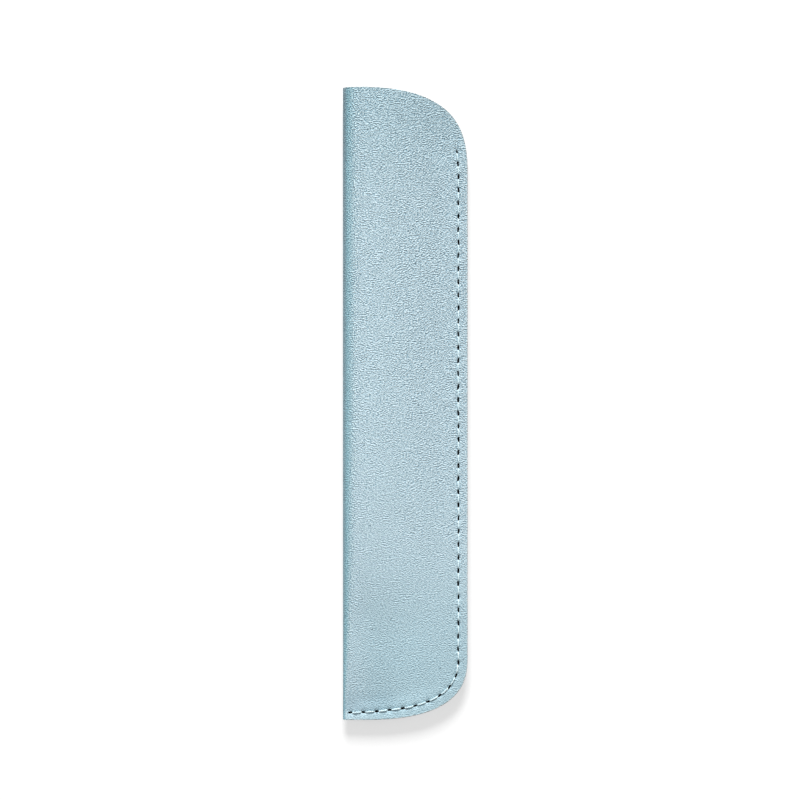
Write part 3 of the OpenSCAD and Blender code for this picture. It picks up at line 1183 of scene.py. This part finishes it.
def stitch_object():
    line, total = arch(seam_length / stitches)
    ahead = -normals(line)[:, ::-1] * [1, -1]
    ply_r = THREAD / 2 / (1 + 1 / math.sin(math.pi / PLIES))
    ply_gap = THREAD / 2 - ply_r
    twist = 2 * math.pi * np.linspace(0, total, len(line)) / TWIST_PITCH
    points, faces = [], []
    round_ply = np.linspace(0, 2 * math.pi, PLY_SIDES, endpoint=False)
    for ply in range(PLIES):
        first = len(points)
        phase = twist + 2 * math.pi * ply / PLIES
        for (x, z), (dx, dz), a in zip(line, ahead, phase):
            for b in round_ply:
                aside = ply_gap * math.cos(a) + ply_r * math.cos(b)
                up = ply_gap * math.sin(a) + ply_r * math.sin(b)
                points.append((x - dz * up, aside, z + dx * up))
        rings, n = len(line), PLY_SIDES
        for r in range(rings - 1):
            for s in range(n):
                a, b = first + r * n + s, first + r * n + (s + 1) % n
                faces.append((a, b, b + n, a + n))
        last = first + (rings - 1) * n
        faces.append(tuple(range(first, first + n))[::-1])
        faces.append(tuple(range(last, last + n)))
    mesh = bpy.data.meshes.new("one_stitch")
    mesh.from_pydata(points, [], faces)
    mesh.polygons.foreach_set("use_smooth", [True] * len(mesh.polygons))
    print(f"one stitch: {len(faces)} faces, {total / MM:.2f} mm of thread")
    return new_object("one_stitch", mesh)


one_stitch = stitch_object()

# %% [markdown]
# The thread is polyester, a shade paler than the leather, with the faint shine of drawn fibres. They
# are finer than any mesh, so noise makes them, and a little sheen stands for the fuzz on the plies.

# %% Make the thread
THREAD_SHADE = colour(214, 240, 250)
THREAD_SHINE = colour(236, 254, 255)
FIBRE_DEPTH = 0.02 * MM
FIBRE_STRENGTH = 0.5
THREAD_FIBRES_PER_M = 9000.0


def make_thread_material():
    material, shader, start = new_material(
        "pale_polyester_thread", Roughness=0.45, Sheen_Weight=0.5, Sheen_Roughness=0.4
    )
    fibres = noise(place_on(start), THREAD_FIBRES_PER_M)
    connect(mixed(fibres, THREAD_SHADE, THREAD_SHINE), shader, "Base Color")
    emboss(shader, fibres, FIBRE_DEPTH, FIBRE_STRENGTH)
    return material


thread_material = make_thread_material()
print("thread material:", len(thread_material.node_tree.nodes), "nodes")

# %% [markdown]
# Geometry Nodes then set a copy of the stitch between each pair of marks, on the front and on the
# back. Each is rolled, widened and raised a little differently, as the tension of a real thread
# makes it. Towards the closed end the stitches are fuller, and from its corner on they are longer,
# so less of each hole shows.

# %% Sew both rows
FRONT_SEED = 21
BACK_SEED = 31
STITCH_ROLL = 0.14
STITCH_WIDTHS = (0.88, 1.12)
STITCH_HEIGHTS = (0.9, 1.08)
FULLNESS = (0.85, 1.15)
STITCH_REACH = (0.97, 1.1)
REACH_FROM = (0.74, 0.86)


def stitch_tree():
    tree, inputs = new_tree("Stitches", {
        "Stitch": "Object", "Stitches": "Int", "Length": "Float", "Height": "Float",
        "Side": "Float", "Roll": "Float", "Seed": "Int", "Material": "Material",
    })
    chain = inputs["Geometry"]
    ends = [
        chain.add("GeometryNodeInputMeshEdgeVertices", None, None, f"Position {k}") for k in (1, 2)
    ]
    span = vector_math("SUBTRACT", ends[1], ends[0])
    kept = chain.add(
        "GeometryNodeStoreNamedAttribute",
        {"data_type": "FLOAT_VECTOR", "domain": "EDGE"},
        {"Geometry": chain, "Name": "span", "Value": span},
    )
    middles = kept.add("GeometryNodeMeshToPoints", {"mode": "EDGES"}, {"Mesh": kept})
    raised = shifted(middles, combined(middles, 0, 0, inputs["Height"]))
    span = raised.add(
        "GeometryNodeInputNamedAttribute", {"data_type": "FLOAT_VECTOR"}, {"Name": "span"}
    )
    length = span.add("ShaderNodeVectorMath", {"operation": "LENGTH"}, {0: span}, "Value")
    roll, seed = inputs["Roll"], inputs["Seed"]
    up = combined(
        raised,
        random_value(raised, -roll, roll, seed),
        random_value(raised, -roll, roll, seed + 1),
        inputs["Side"],
    )
    sewn = raised.add("GeometryNodeInputIndex") / inputs["Stitches"]
    width = random_value(raised, *STITCH_WIDTHS, seed + 2) * blend(*FULLNESS, sewn)
    height = random_value(raised, *STITCH_HEIGHTS, seed + 3)
    reach = blend(*STITCH_REACH, ramp(sewn, *REACH_FROM))
    row = raised.add(
        "GeometryNodeInstanceOnPoints",
        None,
        {
            "Points": raised,
            "Instance": geometry_of(inputs["Stitch"]),
            "Rotation": raised.add("FunctionNodeAxesToRotation", X_THEN_Z, {0: span, 1: up}),
            "Scale": combined(raised, length / inputs["Length"] * reach, width, height),
        },
    )
    return end_tree(tree, row, inputs["Material"])


def sew(name, side, height, seed):
    row = new_object(name, marks.data.copy())
    values = {
        "Stitch": one_stitch, "Stitches": stitches, "Length": seam_length / stitches,
        "Height": height, "Side": side, "Roll": STITCH_ROLL, "Seed": seed,
        "Material": thread_material,
    }
    return run_tree(row, sewing, values)


sewing = stitch_tree()
needle_row = sew("front_stitches", 1.0, front_z, FRONT_SEED)
bobbin_row = sew("back_stitches", -1.0, seam_lift, BACK_SEED)

for helper in (marks, cutter, one_stitch):
    bpy.data.objects.remove(helper)

# %% [markdown]
# The tape between the two pressed edges is a CAD node whose shape is right, so it stays and only
# gets a finish: paper-like tissue soaked with adhesive.

# %% Finish the tape
TISSUE = colour(236, 233, 226)
TISSUE_DARK = colour(214, 210, 200)
TISSUE_FIBRES_PER_M = 2500.0


def make_tape():
    material, shader, start = new_material("tissue_tape", Roughness=0.6)
    fibres = noise(place_on(start), TISSUE_FIBRES_PER_M, 3.0)
    connect(mixed(fibres, TISSUE_DARK, TISSUE), shader, "Base Color")
    return material


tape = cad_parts["seam_tape"]
tape.data.materials.clear()
tape.data.materials.append(make_tape())
print(f"{tape.name}: {len(tape.data.polygons)} faces from the CAD model")

# %% [markdown]
# Smooth shading rounds the folded surfaces, and edges sharper than the limit stay crisp: the rims
# of the holes and the inner corners of the cut edge.

# %% Shade and place the pieces
CRISP_ANGLE = math.radians(38)

for piece in (leather, lining):
    piece.data.polygons.foreach_set("use_smooth", [True] * len(piece.data.polygons))
    piece.data.set_sharp_from_angle(angle=CRISP_ANGLE)

PLACES = (
    (leather, "leather_skin", "leather"),
    (lining, "lining", "lining"),
    (needle_row, "needle_thread", "thread"),
    (bobbin_row, "bobbin_thread", "thread"),
)
for piece, node, slot in PLACES:
    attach(piece, "root")
    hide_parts(node)
    print(f"{piece.name} stands for {node}")

# %% [markdown]
# A product picture has a white ground, and a white floor and sky would throw so much light that the
# coat's own colour is lost. So both are brightened only where the camera, a reflection or a clear
# thing sees them, and the white of the picture isn't light on the sleeve.

# %% Set the floor and the sky
FLOOR_SIZE = 1.6
FLOOR_DROP = 0.05 * MM
FLOOR_GREY = (0.45, 0.45, 0.45, 1)
FLOOR_GLOW = 0.6
AMBIENT = 0.25
BLACK = (0, 0, 0, 1)
WHITE = (1, 1, 1, 1)


def seen_directly(start):
    """1 where a ray comes straight from the camera, a mirror or a clear thing, 0 elsewhere."""
    rays = [start.add("ShaderNodeLightPath", None, None, f"Is {k} Ray")
            for k in ("Camera", "Glossy", "Transmission")]
    return clamped(rays[0] + rays[1] + rays[2])


def make_floor():
    material, shader, start = new_material("studio_floor", Roughness=0.9)
    shader.inputs["Base Color"].default_value = FLOOR_GREY
    shader.inputs["Specular IOR Level"].default_value = 0.1
    shader.inputs["Emission Strength"].default_value = 1.0
    connect(mixed(seen_directly(start) * FLOOR_GLOW, BLACK, WHITE), shader, "Emission Color")
    return material


bpy.ops.mesh.primitive_plane_add(size=FLOOR_SIZE, location=(0, 0, -FLOOR_DROP))
floor = bpy.context.object
floor.name = "studio_floor"
floor.data.materials.append(make_floor())

world = bpy.data.worlds.new("studio")
bpy.context.scene.world = world
world.use_nodes = True
sky = world.node_tree.nodes["Background"]
sky.inputs["Color"].default_value = WHITE
connect(blend(AMBIENT, 1, seen_directly(Wire(world.node_tree))), sky, "Strength")


print(f"floor {FLOOR_DROP / MM:.2f} mm under the sleeve, ambient light {AMBIENT}")

# %% [markdown]
# The picture looks straight down on the sleeve, from so far away that it is nearly flat. The strong
# light slants in from beyond the mouth, so that the cross wrinkles of the grain show, and a weak one
# from the sewn side fills the shadows.

# %% Set the lights and the camera
LIGHT_SIZE = 0.8
KEY_PLACE = (-0.10, 1.64, 1.16)
KEY_POWER = 60.0
FILL_PLACE = (0.9, 0.2, 0.8)
FILL_POWER = 1.2
VIEW_CENTRE = (-1.37 * MM, 1.06 * MM)
VIEW_WIDTH = 205.8 * MM
CAMERA_HEIGHT = 1.25
SENSOR = 36.0


def soft_light(name, place, power):
    """A square light that looks at the middle of the sleeve."""
    data = bpy.data.lights.new(name, "AREA")
    data.size = LIGHT_SIZE
    data.energy = power
    light = new_object(name, data)
    light.location = place
    light.rotation_euler = (-Vector(place)).to_track_quat("-Z", "Y").to_euler()


soft_light("key_light", KEY_PLACE, KEY_POWER)
soft_light("fill_light", FILL_PLACE, FILL_POWER)

camera = new_object("camera", bpy.data.cameras.new("camera"))
bpy.context.scene.camera = camera
camera.location = (*VIEW_CENTRE, CAMERA_HEIGHT)
camera.data.sensor_width = SENSOR
camera.data.lens = SENSOR * CAMERA_HEIGHT / VIEW_WIDTH
camera.data.dof.use_dof = False
bpy.context.scene.view_settings.view_transform = "Standard"
print(f"camera {CAMERA_HEIGHT} m up with a {camera.data.lens:.0f} mm lens")
